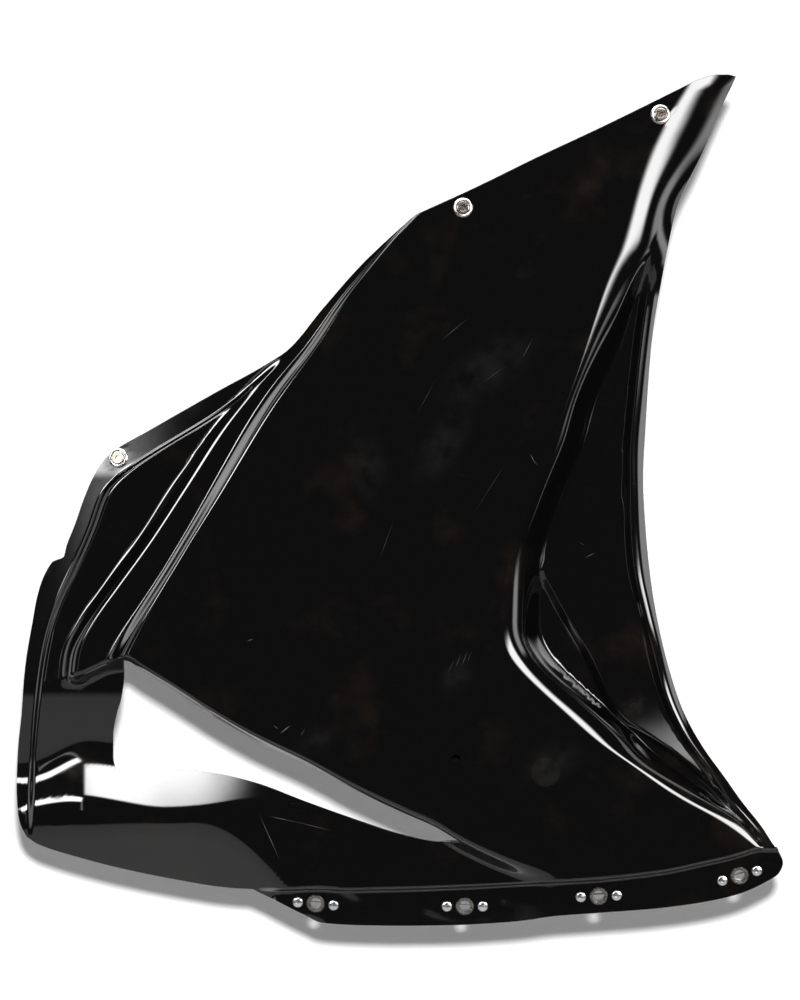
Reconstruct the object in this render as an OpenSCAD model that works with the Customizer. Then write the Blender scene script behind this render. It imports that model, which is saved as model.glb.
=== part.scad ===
// Right-hand side panel of a race fairing: one glass-fibre moulding with its quarter-turn hardware.
// X runs forward, Z up, and the glossy face looks toward -Y. Y is the depth inward from that face.
// The origin is on the axis of the middle stud, at the back face of the moulding.

/* [Moulding] */
// Thickness of the laminate
wall = 2.5; // [2:0.1:3]
// How far the face falls back 300 mm above or below its middle
bow_high = 22; // [20:1:34]
// How far the face falls back 300 mm ahead of or behind its middle
bow_long = 14; // [8:1:20]
// Step of the flange that the belly pan overlaps
joggle = 4; // [3:0.5:5]
// Drop of the arm below the face at the rear of the window
arm_drop = 32; // [28:1:36]
// Drop of the arm at the front tip of the window
tip_drop = 12; // [8:1:16]
// Deepening of the leaf-shaped pocket below the duct floor
pocket = 9; // [5:1:12]
// Height of the rolled rim in front of the duct
rim = 7; // [4:1:9]

/* [Quarter-turn studs] */
// Diameter of the shank
shank_d = 7.9; // [7.8:0.1:8]
// Shank behind the laminate
shank_reach = 15; // [14:1:20]
// Diameter of the hole in the panel
stud_hole_d = 8.4; // [8.4:0.1:8.8]
// Outside diameter of the seat washer
washer_d = 15.4; // [15:0.1:16.5]
// Diameter of the stud head
head_d = 10; // [9.8:0.1:10.4]
// Across flats of the socket
socket_af = 4; // [3:0.5:5]

/* [Receptacles] */
// Outside diameter of the hub
hub_d = 13.3; // [13:0.1:13.6]
// Hole in the floor of the hub
hub_bore_d = 8.3; // [8.2:0.1:8.6]
// Depth of the hub behind the flange
hub_deep = 8; // [7:0.5:10]
// Distance from the hub to each rivet
rivet_pitch = 14; // [13.5:0.1:15]
// Diameter of a rivet's dome
rivet_head_d = 8; // [7:0.1:8.4]
// Diameter of a rivet's body
rivet_d = 4; // [3.8:0.1:4.2]

/* [Hidden] */
// Guide lines that run up the panel: [height z, position x], from the bottom up.
REAR_EDGE = [[-491, -341], [-481, -346], [-470, -348], [-453, -349], [-424, -348], [-394, -345],
    [-366, -343], [-349, -341], [-326, -337], [-300, -332], [-276, -321], [-272, -312], [-264, -310],
    [-246, -303], [-226, -296], [-208, -288], [-196, -280], [-186, -268], [-176, -250], [-160, -222],
    [-143, -192], [-122, -154], [-110, -136], [-79, -110], [-44, -79], [-22, -56], [-5, -37]];
WING_BEND = [[-491, -337], [-454, -336], [-415, -334], [-366, -329], [-337, -324], [-306, -314],
    [-276, -300], [-248, -288], [-220, -278], [-208, -266], [-197, -250], [-180, -222], [-161, -191],
    [-138, -162], [-110, -134], [-79, -108.6], [-44, -78], [-22, -55.6], [-5, -37]];
LEDGE_EDGE = [[-366, -303], [-347, -301], [-324, -290], [-297, -271], [-260, -244], [-216, -215],
    [-168, -183], [-138, -157], [-110, -132], [-79, -107], [-44, -76.6], [-22, -55], [-5, -37]];
WALL_FOOT = [[-361, -289], [-350, -286], [-328, -271], [-310, -257], [-281, -237], [-245, -216],
    [-207, -196], [-159, -169], [-135, -152], [-110, -129], [-79, -105], [-44, -75], [-22, -54.5],
    [-5, -37]];
REAR_FOLD = [[-353, -264], [-322, -250], [-281, -226], [-220, -188], [-158, -150], [-103, -111],
    [-70, -91], [-44, -71], [-22, -53], [-5, -37]];
FRONT_FOLD = [[-501, 229], [-485, 208], [-474, 188], [-457, 158], [-437, 133], [-413, 96],
    [-385, 64], [-363, 41], [-343, 28], [-321, 26], [-292, 29], [-263, 38], [-218, 56], [-173, 72],
    [-115, 92], [-60, 107], [-20, 119], [13, 131], [45, 146], [72, 160], [97, 176]];
DUCT_EDGE = [[-500, 232], [-476, 213], [-467, 196], [-452, 171], [-430, 139], [-400, 108],
    [-370, 75], [-350, 55], [-330, 46], [-300, 47], [-271, 50], [-225, 65], [-181, 82], [-153, 90],
    [-113, 106], [-77, 122], [-50, 134], [-28, 146], [-5, 154], [20, 164], [60, 181], [101, 199]];
LEAF_LINE = [[-499, 234], [-478, 221], [-464, 207], [-452, 195], [-430, 170], [-413, 146],
    [-400, 124], [-377, 109], [-350, 97], [-328, 84], [-298, 68], [-275, 57], [-262, 58],
    [-220, 78], [-160, 106], [-103, 124], [-60, 138], [-19, 153.5], [0, 159], [40, 178], [101, 204]];
RIM_LINE = [[-497, 238], [-470, 216], [-440, 196], [-410, 174], [-377, 159], [-342, 150],
    [-310, 142], [-281, 136], [-243, 133], [-197, 132], [-144, 136], [-83, 143], [-36, 152],
    [0, 163], [43, 183], [101, 209]];
FRONT_EDGE = [[-496, 242], [-483, 234], [-463, 218], [-443, 204], [-424, 190], [-404, 178],
    [-384, 169], [-330, 154], [-290, 147], [-250, 143], [-211, 141], [-170, 143], [-111, 147],
    [-87, 150], [-64, 154], [-37, 159], [3, 168], [43, 187], [83, 204], [103, 214]];

// Guide lines that run along the panel: [position x, height z], from the rear forward.
UNDER_EDGE = [[-345, -366], [-312, -366], [-302, -366], [-288, -361], [-275, -355], [-264, -353],
    [-250, -361], [-215, -383], [-194, -397], [-162, -415], [-122, -434], [-83, -455], [-49, -471],
    [-20, -484], [-2, -495], [25, -508], [52, -518], [75, -524], [96, -525.2]];
WINDOW_FLOOR = [[-271, -438], [-262, -440], [-242, -441], [-218, -438], [-192, -441], [-162, -448],
    [-122, -463], [-83, -477], [-49, -488], [-20, -494], [-2, -495]];
BOTTOM_EDGE = [[-341, -491], [-332, -497], [-301, -507], [-262, -517], [-222, -525], [-192, -530],
    [-176, -531.5], [-164, -532]];
JOGGLE_LINE = [[-164, -532], [-104, -533], [-49, -532], [5, -530], [52, -527.5], [96, -525.2],
    [154, -519], [190, -511.5], [210, -507], [229, -501]];
ARM_RIDGE_TOP = [[-345, -470], [-320, -466], [-299, -464], [-261, -470], [-236, -474], [-202, -472],
    [-175, -468], [-157, -467], [-133, -473], [-100, -483], [-69, -495], [-33, -510], [13, -527],
    [96, -550]];
ARM_RIDGE_FOOT = [[-345, -488], [-311, -487], [-262, -485], [-202, -484], [-190, -488],
    [-172, -499], [-152, -519], [-130, -545], [96, -700]];
TOP_EDGE = [[-37, -5], [9, 16], [58, 40], [107, 63], [156, 87], [176, 97]];
HORN_TIP = [[176, 97], [185, 101], [199, 104.5], [207, 104.5], [214, 103]];
// The window's rear edge, as [height z, position x].
WINDOW_REAR = [[-438, -271], [-428, -273], [-412, -273], [-394, -270], [-384, -267], [-367, -264.5],
    [-353, -264]];
// Free edge of the bottom flange, as [x, z] points from its rear start to its front corner.
FLANGE_EDGE = [[-164, -532], [-142, -543], [-122, -553], [-111, -558], [-83, -560], [-49, -560.5],
    [-9, -560], [42, -557], [70, -553], [110, -550], [150, -547], [193, -541], [217, -535],
    [235, -527], [247, -519], [250, -511], [247, -503], [242, -496]];

// Depths of the steps, as [height z, depth].
REAR_WALL = [[-366, 17], [-330, 19], [-250, 21], [-160, 20], [-115, 18], [-60, 12], [-5, 6]];
LEDGE_STEP = [[-366, 15], [-300, 14], [-200, 10], [-150, 4], [-115, 0]];
WING_STEP = [[-491, 3], [-450, 5], [-330, 6], [-270, 8], [-200, 8], [-150, 4], [-115, 0]];
DUCT_WALL = [[-501, 0], [-480, 4], [-465, 6], [-420, 11], [-360, 13], [-300, 13], [-200, 12],
    [-100, 11], [0, 9]];
DUCT_FLOOR = [[-501, 0], [-482, 8], [-460, 16], [-440, 21], [-420, 24], [-400, 25.5], [-380, 26],
    [-300, 26], [-200, 25], [-100, 22], [0, 16]];
POCKET_DEPTH = [[-495, 0], [-465, 0.35], [-420, 0.85], [-360, 1], [-300, 0.6], [-270, 0]];
HORN_TURN = [[-80, 26], [-20, 28], [60, 20], [105, 16]];

// Where the crown of the face is, and how fast the arm and its ridge fall away.
crown_z = -200;
crown_x = -20;
edge_roll = 16;
ridge_round = 7;
ridge_fall = 0.45;
column_fall = 0.22;

// A guide line with its corners rounded, as a table that lookup() reads.
function slope(p, i) = (p[i + 1][1] - p[i][1]) / (p[i + 1][0] - p[i][0]);
function lean(p, i) =
    i == 0 ? slope(p, 0)
    : i == len(p) - 1 ? slope(p, i - 1)
    : let (a = slope(p, i - 1), b = slope(p, i)) a * b <= 0 ? 0 : 2 * a * b / (a + b);
function smooth(p, n = 5) = [
    for (i = [0 : len(p) - 2])
        let (h = p[i + 1][0] - p[i][0], a = lean(p, i) * h, b = lean(p, i + 1) * h,
             y0 = p[i][1], y1 = p[i + 1][1])
            for (k = [0 : n - 1])
                let (t = k / n)
                    [p[i][0] + h * t,
                     y0 + t * (a + t * (3 * (y1 - y0) - 2 * a - b + t * (2 * (y0 - y1) + a + b)))],
    p[len(p) - 1]];
rear_edge = smooth(REAR_EDGE);
wing_bend = smooth(WING_BEND);
ledge_edge = smooth(LEDGE_EDGE);
wall_foot = smooth(WALL_FOOT);
rear_fold = smooth(REAR_FOLD);
front_fold = smooth(FRONT_FOLD);
duct_edge = smooth(DUCT_EDGE);
leaf_line = smooth(LEAF_LINE);
rim_line = smooth(RIM_LINE);
front_edge = smooth(FRONT_EDGE);
under_edge = smooth(UNDER_EDGE);
joggle_line = smooth(JOGGLE_LINE);
ridge_top = smooth(ARM_RIDGE_TOP);
ridge_foot = smooth(ARM_RIDGE_FOOT);
rear_wall = smooth(REAR_WALL);
ledge_step = smooth(LEDGE_STEP);
wing_step = smooth(WING_STEP);
duct_wall = smooth(DUCT_WALL);
duct_floor = smooth(DUCT_FLOOR);
pocket_depth = smooth(POCKET_DEPTH);
horn_turn = smooth(HORN_TURN);

// A rounded step from 0 to 1, and a bend that is flat before 0 and rises 1 in 1 after it.
function ease(t) = let (c = min(max(t, 0), 1)) c * c * c * (c * (6 * c - 15) + 10);
function bend(d, r) = d <= -r ? 0 : d >= r ? d : (d + r) * (d + r) / (4 * r);
function mix(a, b, t) = a + (b - a) * t;

// Depth of each region below the crowned face.
function crown(x, z) =
    bow_high * pow((z - crown_z) / 300, 2) + bow_long * pow((x - crown_x) / 300, 2);
function rear_side(x, z) =
    let (fold = lookup(z, rear_fold) + 1.5, foot = lookup(z, wall_foot),
         ledge = lookup(z, ledge_edge) + 3)
        x >= fold ? 0
        : lookup(z, rear_wall) * ease((fold - x) / (fold - foot + 1))
          + lookup(z, ledge_step) * ease((ledge - x) / 15);
function wing(x, z) =
    let (line = lookup(z, wing_bend) + 3)
        x >= line ? 0
        : lookup(z, wing_step) * ease((line - x) / 8)
          + 0.15 * bend(line - 4 - x, 3) * ease((z + 491) / 40);
function horn(x, z) =
    let (a = lookup(z, front_fold) - 6, e = lookup(z, front_edge))
        lookup(z, horn_turn) * pow(max(0, (x - a) / (e - a)), 2 + ease((60 - z) / 80));
function duct(x, z) =
    let (a = lookup(z, front_fold), b = lookup(z, duct_edge), l = lookup(z, leaf_line),
         m = lookup(z, rim_line), wall_drop = lookup(z, duct_wall), w = min(16, 0.5 * (m - b)),
         low = ease((z + 501) / 45), start = ease((-16 - z) / 60),
         tilt = mix(0.06, 0.12, ease((-320 - z) / 60)) * low,
         u = min(max((x - a) / (b - a), 0), 1), t = min(max((x - b) / w, 0), 1))
        wall_drop * pow(u, 2.2) + 2.2 * wall_drop / (b - a) * w * t * pow(1 - t, 2)
        + start * lookup(z, duct_floor) * t * t * (3 - 2 * t)
        + pocket * lookup(z, pocket_depth) * ease((x - b + 1) / w) * (1 - ease((x - l + 5) / 10))
        + tilt * bend(x - l, 4)
        + low * start * (0.35 * bend(x - m - 2, 2) - rim * ease((x - m + 9) / 9));
function front_side(x, z) =
    x <= lookup(z, front_fold) - 6 ? 0
    : let (t = ease((10 - z) / 90))
        t == 0 ? horn(x, z) : t == 1 ? duct(x, z) : mix(horn(x, z), duct(x, z), t);
function arm(x, z) =
    let (steep = mix(0.5, 0.12, ease((x + 230) / 230)))
        (1 - ease((x - 20) / 62)) * (
            mix(arm_drop, tip_drop, ease((x + 290) / 300))
            - 10 * ease((x + 345) / 60) * (1 - ease((x + 240) / 160))
            + steep * bend(z - lookup(x, ridge_top), ridge_round)
            + ridge_fall * bend(lookup(x, ridge_foot) - z, ridge_round));
function column(x, z) = arm_drop + column_fall * bend(-376 - z, 10);
function lower_side(x, z) =
    let (a = arm(x, z), c = x > -200 ? a + 40 : column(x, z), r = 5, d = a - c)
        d >= r ? c : d <= -r ? a : (a + c) / 2 - (d * d + r * r) / (4 * r);
function shape(x, z) =
    let (above = ease((z - lookup(x, under_edge) + 2 + edge_roll / 2) / edge_roll),
         upper = above == 0 ? 0 : x < 0 ? rear_side(x, z) : front_side(x, z),
         lower = above == 1 ? 0 : lower_side(x, z),
         line = lookup(x, joggle_line))
        crown(x, z) + mix(lower, upper, above) + (x < -100 ? wing(x, z) : 0)
        + (x > -164 ? joggle * ease((line + 2.5 - z) / 4.5) * ease((x + 164) / 12) : 0);

// Where the hardware sits: studs as [x, z], and receptacles with their turn along the flange.
STUDS = [[154, 73], [0, 0.24], [-269, -195]];
RECEPTACLES = [[-115, -543, -5], [1.5, -545, 0], [106, -537, 2.5], [216, -521, 16]];
DRAIN_HOLE = [-5.5, -430];
// Flat seats under the stud washers and two of the receptacles: [x, z, radius, stretch along x].
FLAT_SEATS = [[154, 73, 8.3, 1], [0, 0.24, 8.3, 1], [-269, -195, 10.5, 1],
    [-115, -543, 8.3, 2.8], [1.5, -545, 8.3, 2.6]];
seat_blend = 6;
seats = [for (s = FLAT_SEATS)
    let (e = 0.4, x = s[0], z = s[1])
        [x, z, shape(x, z), (shape(x + e, z) - shape(x - e, z)) / (2 * e),
         (shape(x, z + e) - shape(x, z - e)) / (2 * e), s[2], s[3]]];
function seated(x, z, d, i = 0) =
    i == len(seats) ? d
    : let (s = seats[i], away = norm([(x - s[0]) / s[6], z - s[1]]) - s[5])
        away >= seat_blend ? seated(x, z, d, i + 1)
        : mix(d, s[2] + s[3] * (x - s[0]) + s[4] * (z - s[1]), 1 - ease(away / seat_blend));
function depth(x, z) = seated(x, z, shape(x, z));
// The origin is at the back face behind the middle stud.
face_y = -depth(0, 0) - wall;
function outside(p) = [p[0], face_y + depth(p[0], p[1]), p[1]];
function inward(p) =
    let (e = 0.4, x = p[0], z = p[1],
         v = [-(depth(x + e, z) - depth(x - e, z)) / (2 * e), 1,
              -(depth(x, z + e) - depth(x, z - e)) / (2 * e)])
        v / norm(v);

// Stations between two ends, and blocks of points spanned between guide lines.
function stations(s) = [s[0], for (i = [1 : len(s) - 1])
    let (a = i == 1 ? s[0] : s[i - 1][0]) for (k = [1 : s[i][1]]) mix(a, s[i][0], k / s[i][1])];
function rising(line, zs) = [for (z = zs) [lookup(z, line), z]];
function along(line, xs) = [for (x = xs) [x, lookup(x, line)]];
function span_rows(rails, parts) = [
    for (i = [0 : len(rails[0]) - 1])
        [rails[0][i], for (k = [1 : len(rails) - 1]) for (j = [1 : parts[k - 1]])
            mix(rails[k - 1][i], rails[k][i], j / parts[k - 1])]];
function coons(low, high, left, right) =
    let (n = len(left) - 1, m = len(low) - 1)
        [for (j = [0 : n]) [for (i = [0 : m])
            let (u = i / m, v = norm(left[j] - left[0]) / norm(left[n] - left[0]),
                 bu = mix(low[i], high[i], v), lu = mix(left[j], right[j], u),
                 c = mix(mix(low[0], low[m], u), mix(high[0], high[m], u), v))
                j == 0 ? low[i] : j == n ? high[i] : i == 0 ? left[j] : i == m ? right[j]
                : bu + lu - c]];
function last(v) = v[len(v) - 1];
function column_of(grid, i) = [for (row = grid) row[i]];
function reversed(v) = [for (i = [len(v) - 1 : -1 : 0]) v[i]];
// A free edge is followed with the moulding on its left as seen from the face.
function triangles(grid, shift, flip) =
    let (m = len(grid[0]))
        [for (j = [0 : len(grid) - 2]) for (i = [0 : m - 2])
            let (a = j * m + i, b = a + 1, c = a + m + 1, d = a + m,
                 p = grid[j][i], q = grid[j][i + 1], r = grid[j + 1][i + 1], s = grid[j + 1][i],
                 cut = norm(p - r) <= norm(q - s))
                for (f = cut ? [[a, b, c, p, q, r], [a, c, d, p, r, s]]
                             : [[a, b, d, p, q, s], [b, c, d, q, r, s]])
                    if (norm(f[3] - f[4]) > 0.01 && norm(f[4] - f[5]) > 0.01
                        && norm(f[5] - f[3]) > 0.01)
                        flip ? [shift + f[2], shift + f[1], shift + f[0]]
                             : [shift + f[0], shift + f[1], shift + f[2]]];
function flat(v) = [for (a = v) each a];

// The moulding: six blocks between the guide lines, a back face one wall behind, and its edges.
module moulding() {
    fold_z = stations([-353, [-343, 4], [-300, 5], [-268.6, 3], [-264.8, 1], [-200, 7], [-105, 9], [-5, 6]]);
    front_z = stations([-501, [-489, 4], [-400, 8], [-290, 9], [-60, 8], [97, 6]]);
    near_tip = stations([-264, [-250, 1], [-2, 12]]);
    past_tip = stations([-2, [18, 1], [82, 4], [96, 1]]);
    to_corner = stations([96, [229, 6]]);
    count = len(near_tip) + len(past_tip) + len(to_corner) - 2;
    top = along(smooth(TOP_EDGE), [for (i = [0 : count - 1]) mix(-37, 176, i / (count - 1))]);
    tip = along(under_edge, past_tip);
    corner = along(joggle_line, to_corner);
    fold = rising(rear_fold, fold_z);
    crease = rising(front_fold, front_z);
    low = [each along(under_edge, near_tip), for (i = [1 : len(tip) - 1]) tip[i],
           for (i = [1 : len(corner) - 1]) corner[i]];
    face = coons(low, top, fold, crease);

    // Front: from the front fold over the duct to the front edge. Its lines end 5 mm higher.
    rise = [0, 1, 2, 4, 5];
    lines = [front_fold, duct_edge, leaf_line, rim_line, front_edge];
    rails = [for (k = [0 : 4]) [for (z = front_z) [lookup(z + rise[k], lines[k]), z + rise[k]]]];
    raw_front = span_rows(rails, [4, 4, 4, 3]);
    horn_tip = smooth(HORN_TIP);
    front = [for (j = [0 : len(raw_front) - 1])
        j < len(raw_front) - 1 ? raw_front[j] : [for (p = raw_front[j]) [p[0], lookup(p[0], horn_tip)]]];

    // Wing: from the rear edge to the rear fold, above the end of the ledge.
    wing_rise = [-13, -13, -13, -8, 0];
    wing_lines = [rear_edge, wing_bend, ledge_edge, wall_foot, rear_fold];
    wing_rails = [for (k = [0 : 4]) [for (z = fold_z)
        let (h = z + wing_rise[k] * pow((-5 - z) / 348, 2)) [lookup(h, wing_lines[k]), h]]];
    wing_rows = span_rows(wing_rails, [3, 3, 4, 4]);

    // Column: below the wing, down to the valley.
    cap = wing_rows[0];
    drop = stations([0, [0.12, 3], [1, 9]]);
    window_rear = smooth(WINDOW_REAR);
    column_rows = [for (d = reversed(drop)) [for (i = [0 : len(cap) - 1])
        let (f = i / (len(cap) - 1), right_z = mix(-353, -438, d), left_z = mix(-366, -491, d),
             left_x = lookup(left_z, rear_edge), right_x = lookup(right_z, window_rear),
             g = (cap[i][0] - cap[0][0]) / (last(cap)[0] - cap[0][0]),
             line = [mix(left_x, right_x, g), mix(left_z, right_z, g)])
            d == 0 ? cap[i] : i == len(cap) - 1 ? [right_x, right_z] : i == 0 ? [left_x, left_z]
            : line + (cap[i] - mix(cap[0], last(cap), g)) * pow(1 - d, 3)]];

    // Arm: from the valley forward under the window, to the tip and the joggle.
    valley = column_rows[0];
    arm_n = 24;
    floor_x = [for (i = [0 : arm_n]) mix(-271, -2, i / arm_n)];
    bottom_x = [for (i = [0 : arm_n]) i <= 14 ? mix(-341, -164, i / 14)
                : mix(-164, -2, (i - 14) / (arm_n - 14))];
    window_floor = smooth(WINDOW_FLOOR);
    bottom_line = smooth([each BOTTOM_EDGE, for (i = [1 : 3]) JOGGLE_LINE[i]]);
    arm_cols = [for (i = [0 : arm_n])
        let (t = [floor_x[i], lookup(floor_x[i], window_floor)],
             b = [bottom_x[i], lookup(bottom_x[i], bottom_line)])
            i == 0 ? valley : [for (j = [0 : len(valley) - 1])
                let (g = (valley[j][0] - valley[0][0]) / (last(valley)[0] - valley[0][0]))
                    mix(b, t, mix(g, j / (len(valley) - 1), min(1, i / 6)))]];

    // The narrow wedge that closes the step past the tip, and the bottom flange.
    wedge_n = len(valley) - 1;
    wedge = [for (i = [0 : len(tip) - 1])
        let (b = [tip[i][0], i == len(tip) - 1 ? tip[i][1] : lookup(tip[i][0], joggle_line)])
            i == 0 ? last(arm_cols) : [for (j = [0 : wedge_n]) mix(b, tip[i], j / wedge_n)]];
    flange_top = [for (i = [14 : arm_n]) arm_cols[i][0], for (i = [1 : len(wedge) - 1]) wedge[i][0],
                  for (i = [1 : len(corner) - 1]) corner[i],
                  for (i = [1 : len(front[0]) - 1]) front[0][i]];
    edge_x = smooth([for (i = [0 : len(FLANGE_EDGE) - 1]) [i, FLANGE_EDGE[i][0]]], 4);
    edge_z = smooth([for (i = [0 : len(FLANGE_EDGE) - 1]) [i, FLANGE_EDGE[i][1]]], 4);
    ways = [for (p = flange_top) norm(p - flange_top[0])];
    parts = len(FLANGE_EDGE) - 1;
    flange_rows = [0, 0.07, 0.14, 0.24, 0.5, 0.75, 1];
    turn = len(flange_top) - len(front[0]);
    flange = [for (i = [0 : len(flange_top) - 1])
        let (s = i <= turn ? mix(0, parts - 3, ways[i] / ways[turn])
                 : mix(parts - 3, parts, (i - turn) / (len(front[0]) - 1)),
             e = [lookup(s, edge_x), lookup(s, edge_z)])
            [for (f = flange_rows) mix(flange_top[i], e, f)]];

    grids = [[face, true], [front, true], [wing_rows, true], [column_rows, true],
             [arm_cols, false], [wedge, false], [flange, true]];
    sizes = [for (g = grids) len(g[0]) * len(g[0][0])];
    starts = [for (i = 0, s = 0; i <= len(sizes); s = s + (i < len(sizes) ? sizes[i] : 0), i = i + 1)
        s];
    plan = [for (g = grids) each flat(g[0])];
    skin = [for (p = plan) outside(p)];
    back = [for (i = [0 : len(plan) - 1]) skin[i] + wall * inward(plan[i])];
    total = last(starts);

    // Free edges as rows of point numbers.
    function row(k, j) = let (m = len(grids[k][0][0])) [for (i = [0 : m - 1]) starts[k] + j * m + i];
    function col(k, i) = let (m = len(grids[k][0][0]), n = len(grids[k][0]))
        [for (j = [0 : n - 1]) starts[k] + j * m + i];
    window_low = [for (i = [0 : len(near_tip) - 1]) starts[0] + i];
    arm_bottom = [for (i = [0 : 14]) starts[4] + i * len(valley)];
    rims = [[window_low, true], [row(0, len(fold_z) - 1), false],
            [row(1, len(front_z) - 1), false], [col(1, len(front[0]) - 1), true],
            [col(2, 0), false], [col(3, 0), false], [col(3, len(cap) - 1), true],
            [col(4, len(valley) - 1), false], [arm_bottom, true],
            [col(6, len(flange_rows) - 1), true]];
    far = [for (i = [0 : total - 1]) total + i];
    faces = [
        for (k = [0 : len(grids) - 1]) each triangles(grids[k][0], starts[k], grids[k][1]),
        for (k = [0 : len(grids) - 1]) each triangles(grids[k][0], total + starts[k], !grids[k][1]),
        for (r = rims) for (i = [0 : len(r[0]) - 2])
            let (a = r[0][i], b = r[0][i + 1])
                if (norm(plan[a] - plan[b]) > 0.01)
                    for (f = [[a, b, far[b]], [a, far[b], far[a]]])
                        r[1] ? f : [f[2], f[1], f[0]]];
    polyhedron(points = [each skin, each back], faces = faces, convexity = 12);
}

// Sizes of the hardware that the sections above don't give.
drain_d = 7;
fine = 48;
washer_gap = 0.25;
seat_gap = 0.1;
seat_h = 0.9;
head_h = 1.8;
ring_t = 1;
ring_d = 12;
plate_t = 1.2;
plate_gap = 0.3;
wire_d = 1.6;
cup_deep = 2.5;
lip = 0.8;
rivet_head_h = 1.4;
rivet_gap = 0.3;

// Puts its children on the face at [x, z], with their +Z along the outward normal.
module on_face(p, spin = 0) {
    n = -inward(p);
    translate(outside(p))
        rotate([90 - asin(n[2]), 0, atan2(n[0], -n[1])])
            rotate([0, 0, spin])
                children();
}
module at_rivet(k, side) {
    on_face(RECEPTACLES[k], RECEPTACLES[k][2])
        translate([side * rivet_pitch, 0, 0])
            children();
}
module bore(d) {
    translate([0, 0, -wall - 4])
        cylinder(h = wall + 8, d = d, $fn = fine);
}

module fairing_shell() {
    color([0.06, 0.06, 0.065])
        difference() {
            moulding();
            for (p = STUDS)
                on_face(p) bore(stud_hole_d);
            on_face(DRAIN_HOLE) bore(drain_d);
            for (k = [0 : len(RECEPTACLES) - 1]) {
                on_face(RECEPTACLES[k]) bore(hub_d + 1);
                for (side = [-1, 1])
                    at_rivet(k, side) bore(rivet_d + 0.3);
            }
        }
}

// Quarter-turn stud: a flat domed head with a hexagonal socket, a ring groove and a slotted tip.
module stud() {
    base = seat_h + seat_gap;
    r = head_d / 2;
    tip = -wall - shank_reach;
    groove = -wall - 0.5;
    difference() {
        rotate_extrude($fn = fine)
            polygon([[0, tip], [shank_d / 2 - 0.8, tip], [shank_d / 2, tip + 0.8],
                [shank_d / 2, groove - ring_t - 0.2], [shank_d / 2 - 0.7, groove - ring_t - 0.2],
                [shank_d / 2 - 0.7, groove], [shank_d / 2, groove], [shank_d / 2, base], [r, base],
                [r, base + head_h - 0.9], [r - 0.25, base + head_h - 0.3],
                [r - 0.8, base + head_h], [r - 1.7, base + head_h], [r - 2.1, base + head_h - 0.4],
                [0, base + head_h - 0.4]]);
        translate([0, 0, base + head_h - 2])
            cylinder(h = 3, d = socket_af / cos(30), $fn = 6);
        translate([-1.1, -shank_d, tip - 1])
            cube([2.2, 2 * shank_d, 5]);
        translate([0, 0, tip + 4])
            rotate([90, 0, 0])
                cylinder(h = 2 * shank_d, d = 2.4, center = true, $fn = fine);
    }
}
// Dished washer that the head turns in.
module seat_washer() {
    r = washer_d / 2;
    rotate_extrude($fn = fine)
        polygon([[stud_hole_d / 2 + 0.1, washer_gap], [r, washer_gap], [r, 0.6], [r - 0.3, 1.1],
            [r - 0.9, 1.6], [r - 1.5, 1.75], [r - 1.9, 1.65], [head_d / 2 + 0.5, 1.2],
            [head_d / 2 + 0.4, seat_h],
            [stud_hole_d / 2 + 0.1, seat_h]]);
}
// Split ring behind the panel that keeps the stud in its hole.
module retaining_ring() {
    difference() {
        translate([0, 0, -wall - 0.6 - ring_t])
            cylinder(h = ring_t, d = ring_d, $fn = fine);
        translate([0, 0, -wall - 1.6 - ring_t])
            cylinder(h = ring_t + 2, d = shank_d - 1.2, $fn = fine);
        translate([0, -1.2, -wall - 1.6 - ring_t])
            cube([ring_d, 2.4, ring_t + 2]);
    }
}
// Stamped receptacle: an eared plate behind the flange and a cupped hub through it.
module receptacle() {
    back = -wall - plate_gap;
    floor_z = -cup_deep;
    end = -wall - hub_deep;
    difference() {
        union() {
            translate([0, 0, back - plate_t])
                linear_extrude(plate_t) {
                    circle(d = hub_d + 2.4, $fn = fine);
                    square([2 * rivet_pitch, 8.6], center = true);
                    for (side = [-1, 1])
                        translate([side * rivet_pitch, 0])
                            circle(d = 8.6, $fn = fine);
                }
            rotate_extrude($fn = fine)
                polygon([[0, end], [5.6, end], [5.6, back - plate_t], [hub_d / 2, back - plate_t],
                    [hub_d / 2, lip - 0.4], [hub_d / 2 - 0.3, lip], [0, lip]]);
        }
        translate([0, 0, floor_z])
            cylinder(h = 10, d = hub_d - 2.6, $fn = fine);
        translate([0, 0, end - 1])
            cylinder(h = hub_deep + wall + 1, d = hub_bore_d, $fn = fine);
        for (side = [-1, 1])
            translate([side * rivet_pitch, 0, back - plate_t - 1])
                cylinder(h = plate_t + 2, d = rivet_d + 0.2, $fn = fine);
    }
}
// Cam wire across the end of the hub, with its two legs down to the plate.
module receptacle_spring() {
    low = -wall - hub_deep - wire_d / 2 - 0.05;
    high = -wall - plate_gap - plate_t;
    half = 8;
    translate([0, 0, low])
        rotate([0, 90, 0])
            cylinder(h = 2 * half, d = wire_d, center = true, $fn = fine);
    for (side = [-1, 1])
        translate([side * half, 0, low]) {
            sphere(d = wire_d, $fn = fine);
            cylinder(h = high - low, d = wire_d, $fn = fine);
        }
}
// Blind rivet: a domed head with a pitted centre, its body and the bulb behind the plate.
module rivet() {
    r = rivet_head_d / 2;
    grip = -wall - plate_gap - plate_t - 0.2;
    rotate_extrude($fn = fine)
        polygon([[0, grip - 2.6], [1.8, grip - 2.6], [2.7, grip - 1.8], [2.9, grip - 0.9],
            [2.6, grip], [rivet_d / 2, grip], [rivet_d / 2, rivet_gap], [r, rivet_gap],
            for (a = [10 : 16 : 58]) [r * cos(a), rivet_gap + rivet_head_h * sin(a)],
            [1.2, rivet_gap + rivet_head_h], [1, rivet_head_h - 0.4], [0, rivet_head_h - 0.4]]);
}

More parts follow.
